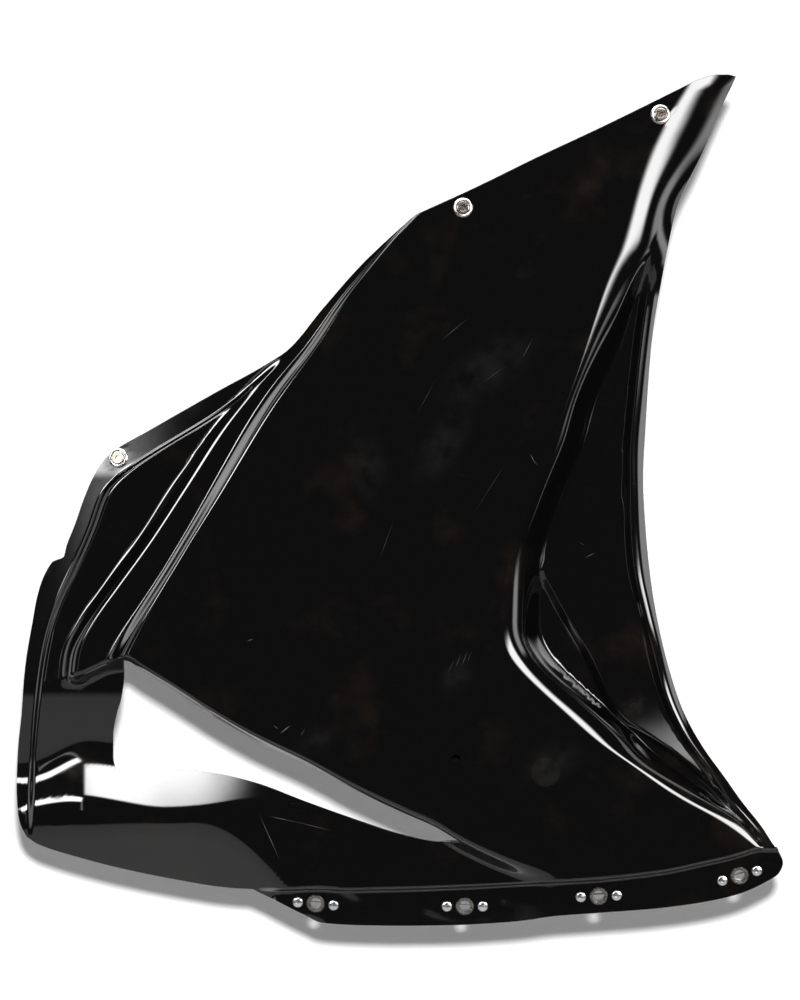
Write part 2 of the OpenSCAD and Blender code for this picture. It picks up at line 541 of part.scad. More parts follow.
// Each piece of hardware in its place. Studs are counted front, middle, rear.
module stud_on(i) {
    color([0.72, 0.72, 0.7])
        on_face(STUDS[i])
            stud();
}
module washer_on(i) {
    color([0.8, 0.8, 0.8])
        on_face(STUDS[i])
            seat_washer();
}
module ring_on(i) {
    color([0.55, 0.55, 0.55])
        on_face(STUDS[i])
            retaining_ring();
}
module receptacle_on(k) {
    color([0.75, 0.74, 0.7])
        on_face(RECEPTACLES[k], RECEPTACLES[k][2])
            receptacle();
}
module spring_on(k) {
    color([0.5, 0.5, 0.5])
        on_face(RECEPTACLES[k], RECEPTACLES[k][2])
            receptacle_spring();
}
module rivet_on(k, side) {
    color([0.8, 0.8, 0.82])
        at_rivet(k, side)
            rivet();
}

fairing_shell();
stud_on(0);  // stud_front
stud_on(1);  // stud_middle
stud_on(2);  // stud_rear
washer_on(0);  // seat_washer_front
washer_on(1);  // seat_washer_middle
washer_on(2);  // seat_washer_rear
ring_on(0);  // retaining_ring_front
ring_on(1);  // retaining_ring_middle
ring_on(2);  // retaining_ring_rear
receptacle_on(0);  // receptacle_1
receptacle_on(1);  // receptacle_2
receptacle_on(2);  // receptacle_3
receptacle_on(3);  // receptacle_4
spring_on(0);  // receptacle_spring_1
spring_on(1);  // receptacle_spring_2
spring_on(2);  // receptacle_spring_3
spring_on(3);  // receptacle_spring_4
rivet_on(0, -1);  // rivet_1a
rivet_on(0, 1);  // rivet_1b
rivet_on(1, -1);  // rivet_2a
rivet_on(1, 1);  // rivet_2b
rivet_on(2, -1);  // rivet_3a
rivet_on(2, 1);  // rivet_3b
rivet_on(3, -1);  // rivet_4a
rivet_on(3, 1);  // rivet_4b
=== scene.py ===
# %% [markdown]
# # A race fairing side panel in glossy black gelcoat
# The panel is one glass-fibre moulding with steel quarter-turn hardware. The construction is
# already fixed: the frame brings every solid at its real size. This lesson rebuilds the moulding
# as a much finer surface, so that its highlights run clean, and gives each piece its finish.

# %% Load the frame
import bpy, bmesh, math
import numpy as np
from mathutils import Matrix, Vector


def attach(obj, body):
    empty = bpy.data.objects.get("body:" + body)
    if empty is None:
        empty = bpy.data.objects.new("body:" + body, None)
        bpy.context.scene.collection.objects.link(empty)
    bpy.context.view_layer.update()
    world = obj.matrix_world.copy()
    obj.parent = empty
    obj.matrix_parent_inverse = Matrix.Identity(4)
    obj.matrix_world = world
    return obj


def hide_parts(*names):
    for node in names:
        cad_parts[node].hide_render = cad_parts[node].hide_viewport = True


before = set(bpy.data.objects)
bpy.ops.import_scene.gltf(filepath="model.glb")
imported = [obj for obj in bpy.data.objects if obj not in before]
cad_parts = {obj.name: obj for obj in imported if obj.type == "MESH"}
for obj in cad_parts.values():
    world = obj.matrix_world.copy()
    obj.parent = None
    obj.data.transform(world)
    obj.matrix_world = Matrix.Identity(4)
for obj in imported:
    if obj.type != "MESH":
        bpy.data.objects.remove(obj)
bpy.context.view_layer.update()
MM = 0.001

# %% [markdown]
# ## The view
# The photograph looks straight at the outer face. One photo pixel is 0.78 mm at the panel, and
# the middle stud, which is the origin, is at pixel (463, 208) of an 800 by 1000 picture. A long
# lens from far away keeps the outline free of perspective, as the real picture is.

# %% Camera
PIXEL = 0.78 * MM
ORIGIN_PX = (463, 208)
PICTURE = (800, 1000)
CAMERA_DISTANCE = 40.0
SENSOR = 24.0
view_x = (PICTURE[0] / 2 - ORIGIN_PX[0]) * PIXEL
view_z = (ORIGIN_PX[1] - PICTURE[1] / 2) * PIXEL
cam_data = bpy.data.cameras.new("camera")
cam_data.sensor_fit = "VERTICAL"
cam_data.sensor_height = SENSOR
cam_data.lens = SENSOR * CAMERA_DISTANCE / (PICTURE[1] * PIXEL)
camera = bpy.data.objects.new("camera", cam_data)
camera.location = (view_x, -CAMERA_DISTANCE, view_z)
camera.rotation_euler = (math.radians(90), 0, 0)
bpy.context.scene.collection.objects.link(camera)
bpy.context.scene.camera = camera
bpy.context.scene.view_settings.view_transform = "Standard"
print("lens:", round(cam_data.lens, 1), "mm, looking at", round(view_x, 3), round(view_z, 3))

# %% [markdown]
# ## The guide lines of the moulding
# A moulding like this is drawn with a few flowing lines: its outline, the folds where one level
# drops to the next, and the rolls along its edges. Each line below is a short list of real
# millimetres, read from a rounded curve. The same lines shape the solid in the frame.

# %% Guide lines that run up the panel, as (height z, position x)
REAR_EDGE = [[-491, -341], [-481, -346], [-470, -348], [-453, -349], [-424, -348], [-394, -345],
    [-366, -343], [-349, -341], [-326, -337], [-300, -332], [-276, -321], [-272, -312], [-264, -310],
    [-246, -303], [-226, -296], [-208, -288], [-196, -280], [-186, -268], [-176, -250], [-160, -222],
    [-143, -192], [-122, -154], [-110, -136], [-79, -110], [-44, -79], [-22, -56], [-5, -37]]
WING_BEND = [[-491, -337], [-454, -336], [-415, -334], [-366, -329], [-337, -324], [-306, -314],
    [-276, -300], [-248, -288], [-220, -278], [-208, -266], [-197, -250], [-180, -222], [-161, -191],
    [-138, -162], [-110, -134], [-79, -108.6], [-44, -78], [-22, -55.6], [-5, -37]]
LEDGE_EDGE = [[-366, -303], [-347, -301], [-324, -290], [-297, -271], [-260, -244], [-216, -215],
    [-168, -183], [-138, -157], [-110, -132], [-79, -107], [-44, -76.6], [-22, -55], [-5, -37]]
WALL_FOOT = [[-361, -289], [-350, -286], [-328, -271], [-310, -257], [-281, -237], [-245, -216],
    [-207, -196], [-159, -169], [-135, -152], [-110, -129], [-79, -105], [-44, -75], [-22, -54.5],
    [-5, -37]]
REAR_FOLD = [[-353, -264], [-322, -250], [-281, -226], [-220, -188], [-158, -150], [-103, -111],
    [-70, -91], [-44, -71], [-22, -53], [-5, -37]]
FRONT_FOLD = [[-501, 229], [-485, 208], [-474, 188], [-457, 158], [-437, 133], [-413, 96],
    [-385, 64], [-363, 41], [-343, 28], [-321, 26], [-292, 29], [-263, 38], [-218, 56], [-173, 72],
    [-115, 92], [-60, 107], [-20, 119], [13, 131], [45, 146], [72, 160], [97, 176]]
DUCT_EDGE = [[-500, 232], [-476, 213], [-467, 196], [-452, 171], [-430, 139], [-400, 108],
    [-370, 75], [-350, 55], [-330, 46], [-300, 47], [-271, 50], [-225, 65], [-181, 82], [-153, 90],
    [-113, 106], [-77, 122], [-50, 134], [-28, 146], [-5, 154], [20, 164], [60, 181], [101, 199]]
LEAF_LINE = [[-499, 234], [-478, 221], [-464, 207], [-452, 195], [-430, 170], [-413, 146],
    [-400, 124], [-377, 109], [-350, 97], [-328, 84], [-298, 68], [-275, 57], [-262, 58],
    [-220, 78], [-160, 106], [-103, 124], [-60, 138], [-19, 153.5], [0, 159], [40, 178], [101, 204]]
RIM_LINE = [[-497, 238], [-470, 216], [-440, 196], [-410, 174], [-377, 159], [-342, 150],
    [-310, 142], [-281, 136], [-243, 133], [-197, 132], [-144, 136], [-83, 143], [-36, 152],
    [0, 163], [43, 183], [101, 209]]
FRONT_EDGE = [[-496, 242], [-483, 234], [-463, 218], [-443, 204], [-424, 190], [-404, 178],
    [-384, 169], [-330, 154], [-290, 147], [-250, 143], [-211, 141], [-170, 143], [-111, 147],
    [-87, 150], [-64, 154], [-37, 159], [3, 168], [43, 187], [83, 204], [103, 214]]
WINDOW_REAR = [[-438, -271], [-428, -273], [-412, -273], [-394, -270], [-384, -267], [-367, -264.5],
    [-353, -264]]

# %% Guide lines that run along the panel, as (position x, height z)
UNDER_EDGE = [[-345, -366], [-312, -366], [-302, -366], [-288, -361], [-275, -355], [-264, -353],
    [-250, -361], [-215, -383], [-194, -397], [-162, -415], [-122, -434], [-83, -455], [-49, -471],
    [-20, -484], [-2, -495], [25, -508], [52, -518], [75, -524], [96, -525.2]]
WINDOW_FLOOR = [[-271, -438], [-262, -440], [-242, -441], [-218, -438], [-192, -441], [-162, -448],
    [-122, -463], [-83, -477], [-49, -488], [-20, -494], [-2, -495]]
BOTTOM_EDGE = [[-341, -491], [-332, -497], [-301, -507], [-262, -517], [-222, -525], [-192, -530],
    [-176, -531.5], [-164, -532]]
JOGGLE_LINE = [[-164, -532], [-104, -533], [-49, -532], [5, -530], [52, -527.5], [96, -525.2],
    [154, -519], [190, -511.5], [210, -507], [229, -501]]
ARM_RIDGE_TOP = [[-345, -470], [-320, -466], [-299, -464], [-261, -470], [-236, -474], [-202, -472],
    [-175, -468], [-157, -467], [-133, -473], [-100, -483], [-69, -495], [-33, -510], [13, -527],
    [96, -550]]
ARM_RIDGE_FOOT = [[-345, -488], [-311, -487], [-262, -485], [-202, -484], [-190, -488],
    [-172, -499], [-152, -519], [-130, -545], [96, -700]]
TOP_EDGE = [[-37, -5], [9, 16], [58, 40], [107, 63], [156, 87], [176, 97]]
HORN_TIP = [[176, 97], [185, 101], [199, 104.5], [207, 104.5], [214, 103]]
FLANGE_EDGE = [[-164, -532], [-142, -543], [-122, -553], [-111, -558], [-83, -560], [-49, -560.5],
    [-9, -560], [42, -557], [70, -553], [110, -550], [150, -547], [193, -541], [217, -535],
    [235, -527], [247, -519], [250, -511], [247, -503], [242, -496]]

# %% Depths of the steps, as (height z, depth)
REAR_WALL = [[-366, 17], [-330, 19], [-250, 21], [-160, 20], [-115, 18], [-60, 12], [-5, 6]]
LEDGE_STEP = [[-366, 15], [-300, 14], [-200, 10], [-150, 4], [-115, 0]]
WING_STEP = [[-491, 3], [-450, 5], [-330, 6], [-270, 8], [-200, 8], [-150, 4], [-115, 0]]
DUCT_WALL = [[-501, 0], [-480, 4], [-465, 6], [-420, 11], [-360, 13], [-300, 13], [-200, 12],
    [-100, 11], [0, 9]]
DUCT_FLOOR = [[-501, 0], [-482, 8], [-460, 16], [-440, 21], [-420, 24], [-400, 25.5], [-380, 26],
    [-300, 26], [-200, 25], [-100, 22], [0, 16]]
POCKET_DEPTH = [[-495, 0], [-465, 0.35], [-420, 0.85], [-360, 1], [-300, 0.6], [-270, 0]]
HORN_TURN = [[-80, 26], [-20, 28], [60, 20], [105, 16]]
WALL = 2.5
BOW_HIGH, BOW_LONG = 22, 14
CROWN_X, CROWN_Z = -20, -200
JOGGLE, RIM, POCKET = 4, 7, 9
ARM_DROP, TIP_DROP = 32, 12
EDGE_ROLL, RIDGE_ROUND, RIDGE_FALL, COLUMN_FALL, MITRE_ROUND = 16, 7, 0.45, 0.22, 8
STUDS = [[154, 73], [0, 0.24], [-269, -195]]
# Flat seats under the stud washers and two of the receptacles, as (x, z, radius, stretch along x)
FLAT_SEATS = [[154, 73, 5.0, 1], [0, 0.24, 8.3, 1], [-269, -195, 7.5, 1], [-115, -543, 8.3, 2.8],
    [1.5, -545, 8.3, 2.6]]
SEAT_BLEND = 6

# %% [markdown]
# ## From guide lines to a surface
# The moulding is a height field: at each point of the side view it has one depth. The depth is
# the crowned face plus a rounded step at every guide line. The alternatives would be a cage with
# subdivision, which rounds the folds away, or sculpting, which can't be repeated. A formula gives
# the same fair surface at any density.

# %% A guide line as a rounded curve
def lean(p, i):
    """The slope of the curve at point i: level at a turning point, so that nothing overshoots."""
    slope = lambda k: (p[k + 1][1] - p[k][1]) / (p[k + 1][0] - p[k][0])
    if i == 0 or i == len(p) - 1:
        return slope(0 if i == 0 else i - 1)
    a, b = slope(i - 1), slope(i)
    return 0 if a * b <= 0 else 2 * a * b / (a + b)


def smooth(p, fair=0.0):
    """The rounded curve as two even tables. `fair` evens it out over that many mm, its ends held."""
    p = np.array(p, dtype=float)
    keys = np.linspace(p[0, 0], p[-1, 0], 64 * (len(p) - 1) + 1)
    i = np.clip(np.searchsorted(p[:, 0], keys, side="right") - 1, 0, len(p) - 2)
    leans = np.array([lean(p, k) for k in range(len(p))])
    h = p[i + 1, 0] - p[i, 0]
    t = (keys - p[i, 0]) / h
    a, b, y0, y1 = leans[i] * h, leans[i + 1] * h, p[i, 1], p[i + 1, 1]
    values = y0 + t * (a + t * (3 * (y1 - y0) - 2 * a - b + t * (2 * (y0 - y1) + a + b)))
    if fair:
        reach = int(3 * fair / (keys[1] - keys[0]))
        weights = np.exp(-0.5 * (np.arange(-reach, reach + 1) * (keys[1] - keys[0]) / fair) ** 2)
        ends = [2 * values[0] - values[reach:0:-1], values, 2 * values[-1] - values[-2:-reach - 2:-1]]
        values = np.convolve(np.concatenate(ends), weights / weights.sum(), "valid")
    return keys, values


rear_edge, under_edge, joggle_line = smooth(REAR_EDGE), smooth(UNDER_EDGE), smooth(JOGGLE_LINE, 3)
front_edge = smooth(FRONT_EDGE, 4)
wing_bend, ledge_edge, wall_foot, rear_fold, front_fold, duct_edge, leaf_line, rim_line = [
    smooth(line, 6) for line in
    (WING_BEND, LEDGE_EDGE, WALL_FOOT, REAR_FOLD, FRONT_FOLD, DUCT_EDGE, LEAF_LINE, RIM_LINE)]
ridge_top, ridge_foot = smooth(ARM_RIDGE_TOP, 8), smooth(ARM_RIDGE_FOOT, 8)
rear_wall, ledge_step, wing_step, duct_wall, duct_floor, pocket_depth, horn_turn = [
    smooth(table, 10) for table in
    (REAR_WALL, LEDGE_STEP, WING_STEP, DUCT_WALL, DUCT_FLOOR, POCKET_DEPTH, HORN_TURN)]


def lookup(v, line):
    """Where a smoothed guide line or depth table stands at v."""
    return np.interp(v, line[0], line[1])


# %% Steps, bends and the depth of each region
def ease(t):
    """0 to 1 with no kink at either end, the profile of every rounded step."""
    c = np.clip(t, 0, 1)
    return c * c * c * (c * (6 * c - 15) + 10)


def bend(d, r):
    """Flat on one side, sloping 1:1 on the other, rounded over r on both sides of the fold."""
    return np.where(d <= -r, 0, np.where(d >= r, d, (d + r) ** 2 / (4 * r)))


def mix(a, b, t):
    return a + (b - a) * t


def crown(x, z):
    """The main face is bowed a little both ways, as a panel that covers an engine is."""
    return BOW_HIGH * ((z - CROWN_Z) / 300) ** 2 + BOW_LONG * ((x - CROWN_X) / 300) ** 2


def rear_side(x, z):
    """The steep wall from the rear fold down to its foot, then the ledge before the wing."""
    fold, foot = lookup(z, rear_fold) + 1.5, lookup(z, wall_foot)
    ledge = lookup(z, ledge_edge) + 3
    return (lookup(z, rear_wall) * ease((fold - x) / (0.72 * (fold - foot + 1)))
            + np.where(x >= fold, 0, lookup(z, ledge_step) * ease((ledge - x) / 17)))


def wing(x, z):
    """The narrow flange round the wing and down the column, one small step lower."""
    line = lookup(z, wing_bend) + 3
    return np.where(x >= line, 0, lookup(z, wing_step) * ease((line - x) / 8)
                    + 0.15 * bend(line - 4 - x, 3) * ease((z + 491) / 40))


def horn(x, z):
    """The top front corner rolls inward, more and more towards its edge."""
    a, e = lookup(z, front_fold) - 6, lookup(z, front_edge)
    return lookup(z, horn_turn) * np.maximum(0, (x - a) / (e - a)) ** (2 + ease((60 - z) / 80))


def duct(x, z):
    """The air duct: its wall, its floor, the leaf pocket, the floor's tilt and the raised rim."""
    a, b, l = lookup(z, front_fold), lookup(z, duct_edge), lookup(z, leaf_line)
    m, wall = lookup(z, rim_line), lookup(z, duct_wall)
    w = np.minimum(16, 0.5 * (m - b))
    low, start = ease((z + 501) / 45), ease((-16 - z) / 60)
    tilt = mix(0.06, 0.12, ease((-320 - z) / 60)) * low
    u, t = np.clip((x - a) / (b - a), 0, 1), np.clip((x - b) / w, 0, 1)
    return (wall * u ** 2.2 + 2.2 * wall / (b - a) * w * t * (1 - t) ** 2
            + start * lookup(z, duct_floor) * t * t * (3 - 2 * t)
            + POCKET * lookup(z, pocket_depth) * ease((x - b + 1) / w) * (1 - ease((x - l + 5) / 10))
            + tilt * bend(x - l, 4)
            + low * start * (0.8 * bend(x - m - 2, 3) - RIM * ease((x - m + 9) / 9)))


def front_side(x, z):
    """The horn above, the duct below, one passing into the other under the pointed top."""
    t = ease((10 - z) / 90)
    return np.where(x <= lookup(z, front_fold) - 6, 0, mix(horn(x, z), duct(x, z), t))


def arm(x, z):
    """The bar under the window: a drop, a bevel above its ridge and a fall below it."""
    steep = mix(0.5, 0.12, ease((x + 230) / 230))
    return (1 - ease((x - 20) / 62)) * (
        mix(ARM_DROP, TIP_DROP, ease((x + 290) / 300))
        - 10 * ease((x + 345) / 60) * (1 - ease((x + 240) / 160))
        + steep * bend(z - lookup(x, ridge_top), RIDGE_ROUND)
        + RIDGE_FALL * bend(lookup(x, ridge_foot) - z, RIDGE_ROUND))


def column(x, z):
    """The upright behind the window, leaning inward towards its foot."""
    return ARM_DROP + COLUMN_FALL * bend(-376 - z, 10)


def lower_side(x, z):
    """Column and arm meet in a rounded mitre: the outer of the two, blended over the radius."""
    a, r = arm(x, z), MITRE_ROUND
    c = np.where(x > -200, a + 40, column(x, z))
    d = a - c
    return np.where(d >= r, c, np.where(d <= -r, a, (a + c) / 2 - (d * d + r * r) / (4 * r)))


def shape(x, z):
    """The crown, the upper or the lower side, the wing's step and the joggle of the flange."""
    above = ease((z - lookup(x, under_edge) + 2 + EDGE_ROLL / 2) / EDGE_ROLL)
    upper = np.where(x < 0, rear_side(x, z), front_side(x, z))
    line = lookup(x, joggle_line)
    return (crown(x, z) + mix(lower_side(x, z), upper, above) + np.where(x < -100, wing(x, z), 0)
            + JOGGLE * ease((line + 2.5 - z) / 4.5) * ease((x + 164) / 12))


# %% Flat seats under the hardware
def tangent(seat, e=0.4):
    """The plane that touches the face at a seat: place, level, slopes, radius and stretch."""
    x, z = np.float64(seat[0]), np.float64(seat[1])
    return (x, z, shape(x, z), (shape(x + e, z) - shape(x - e, z)) / (2 * e),
            (shape(x, z + e) - shape(x, z - e)) / (2 * e), seat[2], seat[3])


SEATS = [tangent(seat) for seat in FLAT_SEATS]


def depth(x, z):
    """How far the face lies inward at a point of the side view, with its flat seats."""
    d = shape(x, z)
    for cx, cz, level, across, up, radius, stretch in SEATS:
        hold = 1 - ease((np.hypot((x - cx) / stretch, z - cz) - radius) / SEAT_BLEND)
        d = mix(d, level + across * (x - cx) + up * (z - cz), hold)
    return d


FACE_Y = -float(depth(np.float64(0), np.float64(0))) - WALL


def outside(plan):
    """Points of the side view lifted onto the face, in mm."""
    return np.stack([plan[:, 0], FACE_Y + depth(plan[:, 0], plan[:, 1]), plan[:, 1]], axis=1)


def inward(plan, e=0.4):
    """The unit normal of the face, pointing into the panel."""
    x, z = plan[:, 0], plan[:, 1]
    v = np.stack([-(depth(x + e, z) - depth(x - e, z)) / (2 * e), np.ones(len(x)),
                  -(depth(x, z + e) - depth(x, z - e)) / (2 * e)], axis=1)
    return v / np.linalg.norm(v, axis=1)[:, None]


print("face at the middle stud, mm:", round(FACE_Y, 2))

# %% [markdown]
# ## The blocks
# The side view is divided into seven blocks whose edges are the guide lines, so that the mesh
# lines run along the folds and never across them. Neighbours share their edge points.

# %% Stations and blocks
FINE = 4


def stations(start, *parts):
    """Even steps from one named place to the next, FINE times as many as each part says."""
    out = [float(start)]
    for end, n in parts:
        a = out[-1]
        out += [mix(a, end, k / (n * FINE)) for k in range(1, n * FINE + 1)]
    return np.array(out)


def rising(line, zs):
    return np.stack([lookup(zs, line), zs], axis=1)


def along(line, xs):
    return np.stack([xs, lookup(xs, line)], axis=1)


def span_rows(rails, parts):
    """Fills the bands between neighbouring rails with evenly spaced columns."""
    cols = [rails[0]]
    for k in range(1, len(rails)):
        n = parts[k - 1] * FINE
        cols += [mix(rails[k - 1], rails[k], j / n) for j in range(1, n + 1)]
    return np.stack(cols, axis=1)


def coons(low, high, left, right):
    """A grid of points inside four edge curves."""
    v = (np.linalg.norm(left - left[0], axis=1) / np.linalg.norm(left[-1] - left[0]))[:, None, None]
    u = np.linspace(0, 1, len(low))[None, :, None]
    grid = (mix(low[None], high[None], v) + mix(left[:, None], right[:, None], u)
            - mix(mix(low[0], low[-1], u), mix(high[0], high[-1], u), v))
    grid[0], grid[-1], grid[:, 0], grid[:, -1] = low, high, left, right
    return grid


# %% The face, between the rear fold and the front fold
fold_z = stations(-353, (-343, 3), (-300, 5), (-268.6, 3), (-264.8, 1), (-200, 6), (-105, 8), (-5, 6))
front_z = stations(-501, (-489, 3), (-400, 6), (-290, 8), (-60, 8), (97, 7))
near_tip = stations(-264, (-250, 1), (-2, 10))
past_tip = stations(-2, (18, 1), (82, 3), (96, 1))
to_corner = stations(96, (229, 6))
count = len(near_tip) + len(past_tip) + len(to_corner) - 2
top = along(smooth(TOP_EDGE), np.linspace(-37, 176, count))
tip, corner = along(under_edge, past_tip), along(joggle_line, to_corner)
low = np.concatenate([along(under_edge, near_tip), tip[1:], corner[1:]])
face = coons(low, top, rising(rear_fold, fold_z), rising(front_fold, front_z))

# %% The front: duct, pocket, rim and horn
rails = [rising(line, front_z + rise) for line, rise in
         zip([front_fold, duct_edge, leaf_line, rim_line, front_edge], [0, 1, 2, 4, 5])]
front = span_rows(rails, [4, 4, 4, 3])
front[-1, :, 1] = lookup(front[-1, :, 0], smooth(HORN_TIP))

# %% The wing, and the column below it
wing_rails = []
for line, rise in zip([rear_edge, wing_bend, ledge_edge, wall_foot, rear_fold], [-13, -13, -13, -8, 0]):
    wing_rails.append(rising(line, fold_z + rise * ((-5 - fold_z) / 348) ** 2))
wing_rows = span_rows(wing_rails, [3, 3, 4, 4])
cap = wing_rows[0]
reach = ((cap[:, 0] - cap[0, 0]) / (cap[-1, 0] - cap[0, 0]))
window_rear = smooth(WINDOW_REAR)
column_rows = []
for d in stations(0, (0.12, 2), (1, 8))[::-1]:
    right_z, left_z = mix(-353, -438, d), mix(-366, -491, d)
    left = np.array([lookup(left_z, rear_edge), left_z])
    right = np.array([lookup(right_z, window_rear), right_z])
    line = mix(left, right, reach[:, None])
    line = line + (cap - mix(cap[0], cap[-1], reach[:, None])) * (1 - d) ** 3
    line[0], line[-1] = left, right
    column_rows.append(cap if d == 0 else line)
column_rows = np.array(column_rows)

# %% The arm under the window, the wedge past its tip and the bottom flange
valley = column_rows[0]
valley_reach = (valley[:, 0] - valley[0, 0]) / (valley[-1, 0] - valley[0, 0])
arm_n, arm_free = 20 * FINE, 12 * FINE
floor_x = np.linspace(-271, -2, arm_n + 1)
bottom_x = np.concatenate([np.linspace(-341, -164, arm_free + 1),
                           np.linspace(-164, -2, arm_n - arm_free + 1)[1:]])
upper = along(smooth(WINDOW_FLOOR), floor_x)
lower = along(smooth(BOTTOM_EDGE + JOGGLE_LINE[1:4]), bottom_x)
even = np.linspace(0, 1, len(valley))
arm_cols = np.array([valley if i == 0 else
    mix(lower[i], upper[i], mix(valley_reach, even, min(1, i / (6 * FINE)))[:, None])
    for i in range(arm_n + 1)])
wedge = np.array([arm_cols[-1]] + [
    mix(tip[i] if i == len(tip) - 1 else np.array([tip[i, 0], lookup(tip[i, 0], joggle_line)]),
        tip[i], even[:, None]) for i in range(1, len(tip))])
flange_top = np.concatenate([arm_cols[arm_free:, 0], wedge[1:, 0], corner[1:], front[0, 1:]])
parts = len(FLANGE_EDGE) - 1
edge_x = smooth([[i, p[0]] for i, p in enumerate(FLANGE_EDGE)])
edge_z = smooth([[i, p[1]] for i, p in enumerate(FLANGE_EDGE)])
ways = np.linalg.norm(flange_top - flange_top[0], axis=1)
turn = len(flange_top) - len(front[0])
steps = np.arange(len(flange_top))
s = np.where(steps <= turn, (parts - 3) * ways / ways[turn],
             parts - 3 + 3 * (steps - turn) / (len(front[0]) - 1))
free = np.stack([lookup(s, edge_x), lookup(s, edge_z)], axis=1)
flange_rows = stations(0, (0.07, 1), (0.14, 1), (0.24, 1), (0.5, 1), (0.75, 1), (1, 1))
flange = mix(flange_top[:, None], free[:, None], flange_rows[None, :, None])
grids = [(face, 1), (front, 1), (wing_rows, 1), (column_rows, 1), (arm_cols, 0), (wedge, 0), (flange, 1)]
print("plan points:", sum(g.shape[0] * g.shape[1] for g, _ in grids))

# %% [markdown]
# ## One skin, its back, and the trimmed edge
# A laminate is an even wall: its back is the face moved inward along the normal. The trimmed edge
# is sanded slightly round, and that is what catches the thin line of light round the panel.

# %% Weld the blocks into one plan mesh
points, quads, shift = [], [], 0
for grid, turned in grids:
    rows, cols = grid.shape[:2]
    points.append(grid.reshape(-1, 2))
    index = shift + np.arange(rows * cols).reshape(rows, cols)
    a, b, c, d = index[:-1, :-1], index[:-1, 1:], index[1:, 1:], index[1:, :-1]
    loop = [a, d, c, b] if turned else [a, b, c, d]
    quads.append(np.stack([v.ravel() for v in loop], axis=1))
    shift += rows * cols
points, quads = np.concatenate(points), np.concatenate(quads)
_, first, weld = np.unique(np.round(points, 3), axis=0, return_index=True, return_inverse=True)
plan, quads = points[first], weld.ravel()[quads]
polys = []
for q in quads:
    ring = [v for k, v in enumerate(q) if v != q[k - 1]]
    if len(set(ring)) >= 3:
        polys.append(ring)
edges = {}
for ring in polys:
    for k, v in enumerate(ring):
        edges[(ring[k - 1], v)] = edges.get((ring[k - 1], v), 0) + 1
open_edges = [e for e in edges if (e[1], e[0]) not in edges]
print("welded:", len(plan), "faces:", len(polys), "free edges:", len(open_edges))

# %% Face, back and edge as one closed mesh
EDGE_ROUND = 0.7        # how far the sanded edge stands back, mm
EDGE_RINGS = 5
skin = outside(plan)
normal = inward(plan)
back = skin + WALL * normal
follow = dict(open_edges)
before = {b: a for a, b in open_edges}
border = sorted(follow)
away = np.zeros((len(border), 3))
for k, v in enumerate(border):
    t = skin[follow[v]] - skin[before[v]]
    o = np.cross(t, normal[v])
    away[k] = o / np.linalg.norm(o)
where = {v: k for k, v in enumerate(border)}
rings = []
for j in range(1, EDGE_RINGS + 1):
    angle = math.pi * (j / (EDGE_RINGS + 1) - 0.5)
    half = (back[border] + skin[border]) / 2 + (back[border] - skin[border]) / 2 * math.sin(angle)
    rings.append(half + away * EDGE_ROUND * (math.cos(angle) - 1))
skin[border] -= away * EDGE_ROUND
back[border] -= away * EDGE_ROUND
n = len(plan)
verts = np.concatenate([skin, back] + rings) * MM
ring_start = [2 * n + j * len(border) for j in range(EDGE_RINGS)]
faces = [list(p) for p in polys] + [[n + v for v in reversed(p)] for p in polys]
for a, b in open_edges:
    ka, kb = where[a], where[b]
    left = [a] + [s0 + ka for s0 in ring_start] + [n + a]
    right = [b] + [s0 + kb for s0 in ring_start] + [n + b]
    faces += [[left[j], left[j + 1], right[j + 1], right[j]] for j in range(len(left) - 1)]
mesh = bpy.data.meshes.new("moulding")
mesh.from_pydata([tuple(v) for v in verts], [], faces)
mesh.validate()
mesh.flip_normals()
mesh.update()
moulding = bpy.data.objects.new("moulding", mesh)
bpy.context.scene.collection.objects.link(moulding)
print("moulding:", len(mesh.vertices), "points,", len(mesh.polygons), "faces")

# %% [markdown]
# ## Drilled holes
# The holes for the studs, hubs, rivets and the small drain are drilled square to the face after
# moulding. One set of cylinders is subtracted from the finished mesh, which keeps their rims
# crisp. The positions are those of the solids.

# %% Drill the moulding
RECEPTACLES = [[-115, -543, -5], [1.5, -545, 0], [106, -537, 2.5], [216, -521, 16]]
RIVET_PITCH = 14
DRAIN = [-5.5, -430]
STUD_HOLE, HUB_HOLE, RIVET_HOLE, DRAIN_HOLE = 8.4, 14.3, 4.3, 7.0
DRILL_LENGTH = 16
CREASE = math.radians(38)


def on_face(place, spin=0.0, across=0.0):
    """The frame of a piece of hardware: its Z points out of the face, its X along the flange."""
    spot = np.array([place], dtype=float)
    out = Vector(-inward(spot)[0])
    tilt, heading = math.pi / 2 - math.asin(out.z), math.atan2(out.x, -out.y)
    return (Matrix.Translation(Vector(outside(spot)[0] * MM)) @ Matrix.Rotation(heading, 4, "Z")
            @ Matrix.Rotation(tilt, 4, "X") @ Matrix.Rotation(math.radians(spin), 4, "Z")
            @ Matrix.Translation((across * MM, 0, 0)))


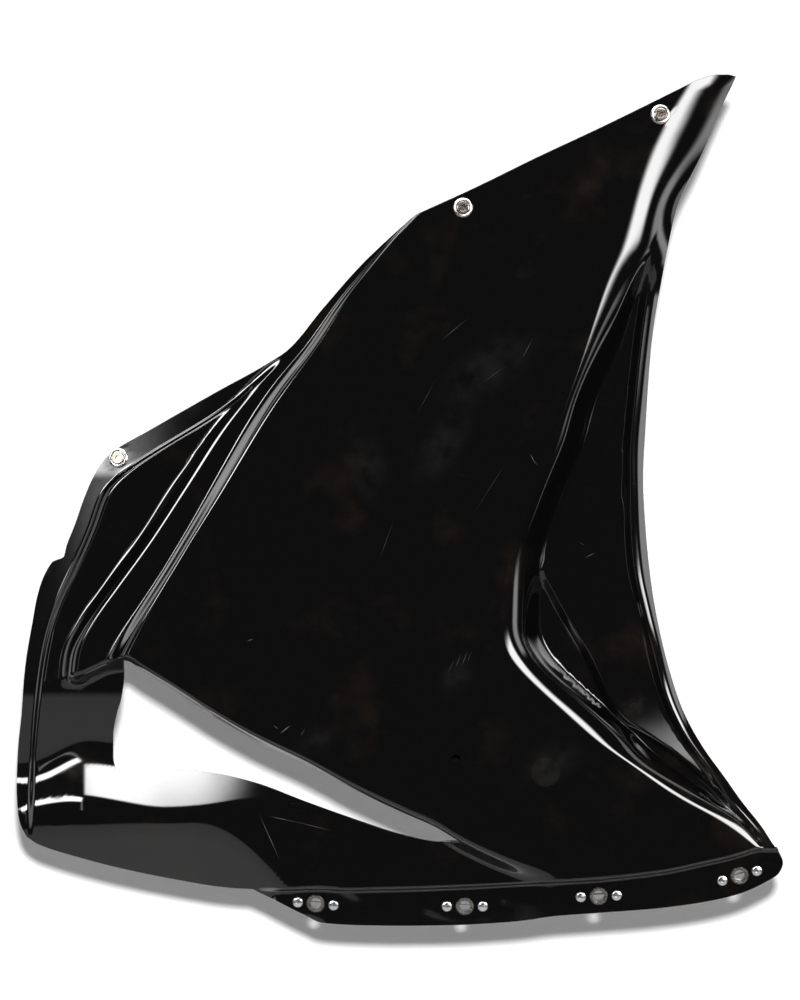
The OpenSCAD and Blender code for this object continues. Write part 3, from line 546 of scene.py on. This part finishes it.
holes = [(on_face(p), STUD_HOLE) for p in STUDS] + [(on_face(DRAIN), DRAIN_HOLE)]
holes += [(on_face(h[:2]), HUB_HOLE) for h in RECEPTACLES]
holes += [(on_face(h[:2], h[2], side * RIVET_PITCH), RIVET_HOLE) for h in RECEPTACLES for side in (-1, 1)]
drill_mesh = bmesh.new()
for place, diameter in holes:
    bmesh.ops.create_cone(drill_mesh, cap_ends=True, segments=64, radius1=diameter / 2 * MM,
                          radius2=diameter / 2 * MM, depth=DRILL_LENGTH * MM, matrix=place)
drill_data = bpy.data.meshes.new("drills")
drill_mesh.to_mesh(drill_data)
drill_mesh.free()
drills = bpy.data.objects.new("drills", drill_data)
bpy.context.scene.collection.objects.link(drills)
cut = moulding.modifiers.new("holes", "BOOLEAN")
cut.operation, cut.solver, cut.object = "DIFFERENCE", "MANIFOLD", drills
drilled = bpy.data.meshes.new_from_object(moulding.evaluated_get(bpy.context.evaluated_depsgraph_get()))
moulding.modifiers.clear()
moulding.data = drilled
bpy.data.objects.remove(drills)
for p in drilled.polygons:
    p.use_smooth = True
drilled.set_sharp_from_angle(angle=CREASE)
print("drilled:", len(drilled.vertices), "points,", len(drilled.polygons), "faces")

# %% [markdown]
# ## Exact shading
# Gloss shows every error of a normal twice over. The formula knows the true slope at every point,
# so the corners on the face and on the back take it, and the mesh's own normals stay only round
# the trimmed edge and in the holes.

# %% Normals from the formula
CLOSE = 0.25            # a point this near the formula's surface lies on it, mm


def read(items, name, size, kind=float):
    values = np.empty(len(items) * size, dtype=kind)
    items.foreach_get(name, values)
    return values.reshape(-1, size) if size > 1 else values


spots = read(drilled.vertices, "co", 3) / MM
flat_spots = spots[:, [0, 2]]
face_normal = -inward(flat_spots)
on_skin = np.abs(spots[:, 1] - outside(flat_spots)[:, 1]) < CLOSE
foot = flat_spots
for _ in range(3):
    foot = flat_spots - WALL * inward(foot)[:, [0, 2]]
back_normal = inward(foot)
on_back = np.linalg.norm(outside(foot) + WALL * back_normal - spots, axis=1) < CLOSE
corners = read(drilled.corner_normals, "vector", 3)
vertex_of = read(drilled.loops, "vertex_index", 1, int)
facing = np.repeat(read(drilled.polygons, "normal", 3), read(drilled.polygons, "loop_total", 1, int), axis=0)
for exact, there in ((face_normal, on_skin), (back_normal, on_back)):
    take = there[vertex_of] & (np.sum(facing * exact[vertex_of], axis=1) > 0.5)
    corners[take] = exact[vertex_of][take]
    print("corners shaded by the formula:", int(take.sum()), "of", len(corners))
drilled.normals_split_custom_set([tuple(v) for v in corners])
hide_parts("fairing_shell")
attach(moulding, "panel")

# %% [markdown]
# ## Colour and node helpers
# Colours are written as sRGB hex, as a picture editor shows them, and turned to the linear values
# that the renderer works in.

# %% Helpers
def linear(hex_colour):
    def one(c):
        return c / 12.92 if c <= 0.04045 else ((c + 0.055) / 1.055) ** 2.4
    return tuple(one(int(hex_colour[i:i + 2], 16) / 255) for i in (1, 3, 5)) + (1.0,)


def add(tree, kind, inputs=None, **settings):
    node = tree.nodes.new(kind)
    for name, value in settings.items():
        setattr(node, name, value)
    for name, value in (inputs or {}).items():
        socket = node.inputs[name]
        if isinstance(value, bpy.types.NodeSocket):
            tree.links.new(value, socket)
        else:
            socket.default_value = value
    return node


def new_material(name):
    material = bpy.data.materials.new(name)
    material.use_nodes = True
    material.node_tree.nodes.clear()
    return material, material.node_tree


# %% [markdown]
# ## Black polyester gelcoat
# Gelcoat is the pigmented resin that is brushed into the mould first, so its gloss is that of the
# polished mould. It is nearly black, and all that the eye sees is reflection: a weak mirror of
# about 5 per cent. Handling leaves dull, greasy patches and hairline scratches, which scatter a
# little warm light. Noise at real sizes makes both, so they follow the object and not the picture.

# %% Gelcoat: greasy patches and fine scratches
SMEAR_MM = 60
SCRATCH_MM, SCRATCH_LENGTH_MM, SCRATCH_ANGLE = 1.1, 40, 32
gelcoat, tree = new_material("black_gelcoat")
place = add(tree, "ShaderNodeTexCoord").outputs["Object"]
smear_noise = add(tree, "ShaderNodeTexNoise", {"Vector": place, "Scale": 1000 / SMEAR_MM, "Detail": 4.0,
                                              "Roughness": 0.6})
smears = add(tree, "ShaderNodeMapRange", {"Value": smear_noise.outputs["Fac"], "From Min": 0.56,
                                         "From Max": 0.72})
stretch = add(tree, "ShaderNodeMapping", {"Vector": place,
    "Rotation": (0.0, math.radians(SCRATCH_ANGLE), 0.0),
    "Scale": (1000 / SCRATCH_LENGTH_MM, 1000 / SCRATCH_LENGTH_MM, 1000 / SCRATCH_MM)})
scratch_noise = add(tree, "ShaderNodeTexNoise", {"Vector": stretch.outputs["Vector"], "Scale": 1.0,
                                                "Detail": 2.0})
scratches = add(tree, "ShaderNodeMapRange", {"Value": scratch_noise.outputs["Fac"], "From Min": 0.70,
                                            "From Max": 0.76})
tint = add(tree, "ShaderNodeMix", {"Factor": smears.outputs["Result"], "A": linear("#0a0a0b"),
                                  "B": linear("#15120f")}, data_type="RGBA")
print("gelcoat nodes so far:", len(tree.nodes))

# %% [markdown]
# ## The wear that this panel has
# Some marks belong to this very panel: nicks beside the window, hairlines across the face, the
# cracks of the lower arm, a ring where something stood on it, and rubbed patches. Each is a long
# thin ellipse with soft ends at its own place. Painting them on an image would tie them to one
# resolution, and a noise alone can't put them where they are.

# %% Wear marks
# Each mark: position x and z, half length, half width in mm, angle in degrees, how white it is
HAIRLINES = [(54.6, -196, 6, 0.35, -62, 0.9), (57, -199, 4, 0.3, -50, 0.6), (-166, -337, 3, 0.4, 20, 0.7),
    (-139, -407, 6, 0.5, 38, 1.0), (-146, -405, 3, 0.4, -35, 0.8), (-125, -409, 4, 0.4, 60, 0.5),
    (99, -271, 5, 0.5, 28, 0.7), (93, -262, 3, 0.4, -40, 0.4), (-4, -354, 8, 0.3, 68, 0.35),
    (1, -352, 8, 0.3, 70, 0.3), (-9, -357, 7, 0.3, 66, 0.3), (5, -350, 6, 0.3, 72, 0.25),
    (-151, -491, 24, 0.35, -66, 0.55), (-140, -477, 14, 0.4, -12, 0.6), (-118, -482, 20, 0.3, -14, 0.35),
    (50, -110, 11, 0.3, 62, 0.35), (-7, -95, 16, 0.3, 40, 0.3), (24, -130, 20, 0.3, 35, 0.25),
    (-30, -150, 26, 0.3, 62, 0.2), (20, -220, 30, 0.3, 58, 0.2), (-60, -260, 22, 0.3, 70, 0.2)]
RUBBED = [(20, -125, 60, 26, 36, 0.030), (-15, -185, 50, 20, 58, 0.024), (-75, -200, 22, 40, 8, 0.022),
    (-5, -366, 24, 16, 55, 0.025), (70, -432, 34, 20, 22, 0.022), (-115, -415, 26, 14, 20, 0.018)]
RING_PLACE, RING_RADIUS, RING_WIDTH, RING_WHITE = (64, 20, -438), 19, 1.6, 0.03
BREAK_MM = 14           # the size of the gaps where a mark wasn't pressed in
marks = 0.0
for x, z, long, wide, angle, white in HAIRLINES + RUBBED:
    local = add(tree, "ShaderNodeMapping", {"Vector": place, "Location": (x * MM, 0, z * MM),
        "Rotation": (0, -math.radians(angle), 0), "Scale": (long * MM, 1, wide * MM)}, vector_type="TEXTURE")
    away = add(tree, "ShaderNodeVectorMath", {0: local.outputs["Vector"]}, operation="LENGTH")
    mask = add(tree, "ShaderNodeMapRange", {"Value": away.outputs["Value"], "From Min": 1.0,
        "From Max": 0.0, "To Max": white}, interpolation_type="SMOOTHSTEP")
    marks = add(tree, "ShaderNodeMath", {0: mask.outputs["Result"], 1: marks}, operation="MAXIMUM").outputs[0]
ring = add(tree, "ShaderNodeVectorMath", {0: place, 1: tuple(v * MM for v in RING_PLACE)},
           operation="DISTANCE")
ring = add(tree, "ShaderNodeMath", {0: ring.outputs["Value"], 1: RING_RADIUS * MM, 2: RING_WIDTH * MM},
           operation="COMPARE")
ring = add(tree, "ShaderNodeMath", {0: ring.outputs["Value"], 1: RING_WHITE}, operation="MULTIPLY")
marks = add(tree, "ShaderNodeMath", {0: ring.outputs["Value"], 1: marks}, operation="MAXIMUM").outputs[0]
break_noise = add(tree, "ShaderNodeTexNoise", {"Vector": place, "Scale": 1000 / BREAK_MM, "Detail": 5.0})
breaks = add(tree, "ShaderNodeMapRange", {"Value": break_noise.outputs["Fac"], "From Min": 0.30,
                                         "From Max": 0.70})
marks = add(tree, "ShaderNodeMath", {0: marks, 1: breaks.outputs["Result"]}, operation="MULTIPLY").outputs[0]
tint = add(tree, "ShaderNodeMix", {"Factor": marks, "A": tint.outputs["Result"], "B": linear("#9a9894")},
           data_type="RGBA")
print("wear marks:", len(HAIRLINES + RUBBED) + 1)

# %% [markdown]
# ## Gloss and print-through
# The roughness is what makes a patch look greasy: 0.055 where the polish is sound, more where it
# has been handled. The weave of the glass cloth prints through as a ripple too faint to see except
# in a reflection.

# %% Gelcoat: gloss
PRINT_MM, PRINT_DEPTH_MM = 7, 0.3
gloss = add(tree, "ShaderNodeMapRange", {"Value": smears.outputs["Result"], "To Min": 0.055, "To Max": 0.13})
worn = add(tree, "ShaderNodeMath", {0: scratches.outputs["Result"], 1: 0.10, 2: gloss.outputs["Result"]},
           operation="MULTIPLY_ADD")
print_noise = add(tree, "ShaderNodeTexNoise", {"Vector": place, "Scale": 1000 / PRINT_MM, "Detail": 2.0})
ripple = add(tree, "ShaderNodeBump", {"Height": print_noise.outputs["Fac"], "Strength": 0.02,
                                     "Distance": PRINT_DEPTH_MM * MM})
shader = add(tree, "ShaderNodeBsdfPrincipled", {"Base Color": tint.outputs["Result"], "IOR": 1.56,
    "Roughness": worn.outputs["Value"], "Normal": ripple.outputs["Normal"]})
add(tree, "ShaderNodeOutputMaterial", {"Surface": shader.outputs["BSDF"]})
moulding.data.materials.clear()
moulding.data.materials.append(gelcoat)
print("gelcoat nodes:", len(tree.nodes))

# %% [markdown]
# ## Metal hardware
# The studs and washers are turned and bright, the receptacles are stamped and zinc plated, and
# the rings and wires are plain spring steel.

# %% Metals
def metal(name, colour, roughness, grain_mm):
    material, tree = new_material(name)
    place = add(tree, "ShaderNodeTexCoord").outputs["Object"]
    grain = add(tree, "ShaderNodeTexNoise", {"Vector": place, "Scale": 1000 / grain_mm, "Detail": 3.0})
    rough = add(tree, "ShaderNodeMapRange", {"Value": grain.outputs["Fac"], "To Min": roughness - 0.06,
                                            "To Max": roughness + 0.08})
    bump = add(tree, "ShaderNodeBump", {"Height": grain.outputs["Fac"], "Strength": 0.08,
                                       "Distance": 0.05 * MM})
    shader = add(tree, "ShaderNodeBsdfPrincipled", {"Base Color": linear(colour), "Metallic": 1.0,
        "Roughness": rough.outputs["Result"], "Normal": bump.outputs["Normal"]})
    add(tree, "ShaderNodeOutputMaterial", {"Surface": shader.outputs["BSDF"]})
    return material


stainless = metal("turned_stainless_steel", "#8f867a", 0.26, 0.8)
washer_metal = metal("polished_aluminium", "#b2b2b0", 0.26, 0.8)
zinc = metal("bright_zinc_plate", "#bdbbb4", 0.26, 1.0)
spring_steel = metal("spring_steel", "#7c7c7e", 0.35, 0.6)
rivet_metal = metal("plain_aluminium", "#cfd0d2", 0.25, 0.7)
finish_of = {"stud_": stainless, "seat_washer": washer_metal, "retaining_ring": spring_steel,
             "receptacle_spring": spring_steel, "receptacle_": zinc, "rivet_": rivet_metal}
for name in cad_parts:
    for start, material in finish_of.items():
        if name.startswith(start):
            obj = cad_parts[name]
            obj.data.materials.clear()
            obj.data.materials.append(material)
            break
print("pieces given a metal:", sum(n.startswith(tuple(finish_of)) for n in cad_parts))

# %% [markdown]
# ## The studio
# Black gloss shows only what it mirrors, so it is photographed in a dark tent with a few soft
# panels of light, each placed where a fold should light up. White paper stands close behind the
# panel and lies below it. The paper behind takes the soft shadow of the key light. A small black
# card behind the drain hole is painted shade: it stands in for the shadow that lies behind the panel.

# %% Paper behind and below
WALL_Y = 0.30
FLOOR_Z = -1.6
FLOOR_FRONT = -2.8
SHADE_CARD_Y = 0.035          # painted shade: a black card behind the drain hole, standing in for the shadow behind the panel


def sheet(name, corners):
    data = bpy.data.meshes.new(name)
    data.from_pydata(corners, [], [(0, 1, 2, 3)])
    obj = bpy.data.objects.new(name, data)
    bpy.context.scene.collection.objects.link(obj)
    return obj


def paper(name, colour, glow, fade=0.0):
    material, tree = new_material(name)
    ray = add(tree, "ShaderNodeLightPath")
    both = add(tree, "ShaderNodeMath", {0: ray.outputs["Is Camera Ray"], 1: ray.outputs["Is Glossy Ray"]},
               operation="MAXIMUM")
    lit = add(tree, "ShaderNodeBsdfDiffuse", {"Color": linear(colour)})
    shine = add(tree, "ShaderNodeMath", {0: both.outputs["Value"], 1: glow}, operation="MULTIPLY")
    own = add(tree, "ShaderNodeEmission", {"Color": (1, 1, 1, 1), "Strength": shine.outputs["Value"]})
    total = add(tree, "ShaderNodeAddShader", {0: lit.outputs["BSDF"], 1: own.outputs["Emission"]})
    if fade:
        spot = add(tree, "ShaderNodeSeparateXYZ", {"Vector": add(tree, "ShaderNodeTexCoord").outputs["Object"]})
        share = add(tree, "ShaderNodeMapRange", {"Value": spot.outputs["Y"], "From Min": FLOOR_FRONT,
                                                "From Max": FLOOR_FRONT + fade}, interpolation_type="SMOOTHSTEP")
        clear = add(tree, "ShaderNodeBsdfTransparent")
        total = add(tree, "ShaderNodeMixShader", {0: share.outputs["Result"], 1: clear.outputs["BSDF"],
                                                 2: total.outputs["Shader"]})
    add(tree, "ShaderNodeOutputMaterial", {"Surface": total.outputs[0]})
    return material


backdrop = sheet("backdrop", [(-0.9, WALL_Y, FLOOR_Z), (0.8, WALL_Y, FLOOR_Z), (0.8, WALL_Y, 0.6),
                              (-0.9, WALL_Y, 0.6)])
backdrop.data.materials.append(paper("white_paper", "#f2f2f2", 0.06))
floor = sheet("floor", [(-2.5, FLOOR_FRONT, FLOOR_Z), (2.5, FLOOR_FRONT, FLOOR_Z),
                        (2.5, WALL_Y, FLOOR_Z), (-2.5, WALL_Y, FLOOR_Z)])
floor.data.materials.append(paper("white_floor", "#f2f2f2", 0.30, 0.9))
# Painted shade: this black card darkens the drain hole as the shadow behind the panel would.
card = sheet("painted_shade_card", [(-0.03, SHADE_CARD_Y, -0.45), (0.02, SHADE_CARD_Y, -0.45), (0.02, SHADE_CARD_Y, -0.41),
                            (-0.03, SHADE_CARD_Y, -0.41)])
black, tree = new_material("painted_shade_card")
matt = add(tree, "ShaderNodeBsdfDiffuse", {"Color": linear("#101010")})
add(tree, "ShaderNodeOutputMaterial", {"Surface": matt.outputs["BSDF"]})
card.data.materials.append(black)

# %% [markdown]
# ## The dark tent and its light panels
# The tent and the panels are seen by reflections alone, so they shape the gloss and leave the
# paper's light even. Each panel fades at its rim like a real softbox. The overhead, top, left and
# right panels draw the white lines on the folds, and the three dim ones keep the outer flanks grey.

# %% Tent
TENT_RADIUS = 7


def only_in_reflections(obj):
    obj.visible_camera = False
    obj.visible_diffuse = False
    obj.visible_transmission = False
    obj.visible_volume_scatter = False
    obj.visible_shadow = False


tent_mesh = bmesh.new()
bmesh.ops.create_uvsphere(tent_mesh, u_segments=48, v_segments=24, radius=TENT_RADIUS)
tent_data = bpy.data.meshes.new("tent")
tent_mesh.to_mesh(tent_data)
tent_mesh.free()
tent = bpy.data.objects.new("tent", tent_data)
bpy.context.scene.collection.objects.link(tent)
only_in_reflections(tent)
velvet, tree = new_material("tent_velvet")
glow = add(tree, "ShaderNodeEmission", {"Color": linear("#2c2620"), "Strength": 1.0})
add(tree, "ShaderNodeOutputMaterial", {"Surface": glow.outputs["Emission"]})
tent_data.materials.append(velvet)


# %% A light panel
PANEL_CENTRE = Vector((-0.05, 0, -0.23))


def light_panel(name, azimuth, elevation, distance, size, radiance, fade, roll=0.0):
    """A soft panel of light in one direction from the fairing; angles in degrees."""
    az, el = math.radians(azimuth), math.radians(elevation)
    way = Vector((math.sin(az) * math.cos(el), -math.cos(az) * math.cos(el), math.sin(el)))
    w, h = size[0] / 2, size[1] / 2
    obj = sheet(name, [(-w, -h, 0), (w, -h, 0), (w, h, 0), (-w, h, 0)])
    obj.location = PANEL_CENTRE + way * distance
    turn = way.to_track_quat("Z", "Y").to_matrix() @ Matrix.Rotation(math.radians(roll), 3, "Z")
    obj.rotation_euler = turn.to_euler()
    only_in_reflections(obj)
    material, tree = new_material(name)
    place = add(tree, "ShaderNodeTexCoord").outputs["Object"]
    axis = add(tree, "ShaderNodeSeparateXYZ", {"Vector": place})
    parts = []
    for letter, half in (("X", w), ("Y", h)):
        away = add(tree, "ShaderNodeMath", {0: axis.outputs[letter]}, operation="ABSOLUTE")
        parts.append(add(tree, "ShaderNodeMapRange", {"Value": away.outputs["Value"], "From Min": half,
            "From Max": half - fade, "To Min": 0.0, "To Max": 1.0}, interpolation_type="SMOOTHSTEP"))
    both = add(tree, "ShaderNodeMath", {0: parts[0].outputs["Result"], 1: parts[1].outputs["Result"]},
               operation="MULTIPLY")
    bright = add(tree, "ShaderNodeMath", {0: both.outputs["Value"], 1: radiance}, operation="MULTIPLY")
    glow = add(tree, "ShaderNodeEmission", {"Color": (1, 1, 1, 1), "Strength": bright.outputs["Value"]})
    clear = add(tree, "ShaderNodeBsdfTransparent")
    total = add(tree, "ShaderNodeMixShader", {0: both.outputs["Value"], 1: clear.outputs["BSDF"],
                                             2: glow.outputs["Emission"]})
    add(tree, "ShaderNodeOutputMaterial", {"Surface": total.outputs["Shader"]})
    obj.data.materials.append(material)
    return obj


# %% The seven light panels
light_panel("panel_overhead", -90, 86, 1.7, (1.2, 3.4), 14, 0.25)
light_panel("panel_top_front", -12, 42, 2.6, (1.7, 1.15), 22, 0.40)
light_panel("panel_left", -44, 18, 2.5, (1.4, 0.85), 24, 0.25)
light_panel("panel_right", 44, 14, 2.6, (2.1, 2.0), 19, 0.6)
light_panel("panel_far_right", 88, 5, 2.6, (1.3, 2.4), 3.5, 0.5)
light_panel("panel_far_left", -92, 4, 2.6, (1.6, 2.4), 1.6, 0.5)
light_panel("panel_flank", -30, 0, 3.0, (0.35, 1.6), 2.5, 0.17)

# %% [markdown]
# ## Key light and world
# A distant lamp almost along the view gives the paper its narrow shadow, a little below the panel
# and to its left. Its angle sets how soft the shadow's rim is. The world is white to the camera and
# in reflections, but gives the object only a plain fill.

# %% Key light
KEY_WIDTH, KEY_ABOVE, KEY_RIGHT = 1.7, 4.0, 0.6       # degrees
sun = bpy.data.lights.new("key", "SUN")
sun.energy = 3.2
sun.angle = math.radians(KEY_WIDTH)
key = bpy.data.objects.new("key", sun)
key.rotation_euler = (math.radians(90 - KEY_ABOVE), 0, math.radians(KEY_RIGHT))
key.visible_glossy = False
bpy.context.scene.collection.objects.link(key)

# %% World
world = bpy.data.worlds.new("studio")
world.use_nodes = True
tree = world.node_tree
tree.nodes.clear()
ray = add(tree, "ShaderNodeLightPath")
seen = add(tree, "ShaderNodeMath", {0: ray.outputs["Is Camera Ray"], 1: ray.outputs["Is Glossy Ray"]},
           operation="MAXIMUM")
seen = add(tree, "ShaderNodeMath", {0: seen.outputs["Value"], 1: ray.outputs["Is Transmission Ray"]},
           operation="MAXIMUM")
level = add(tree, "ShaderNodeMapRange", {"Value": seen.outputs["Value"], "To Min": 0.22, "To Max": 1.0})
sky = add(tree, "ShaderNodeBackground", {"Color": (1, 1, 1, 1), "Strength": level.outputs["Result"]})
add(tree, "ShaderNodeOutputWorld", {"Surface": sky.outputs["Background"]})
bpy.context.scene.world = world
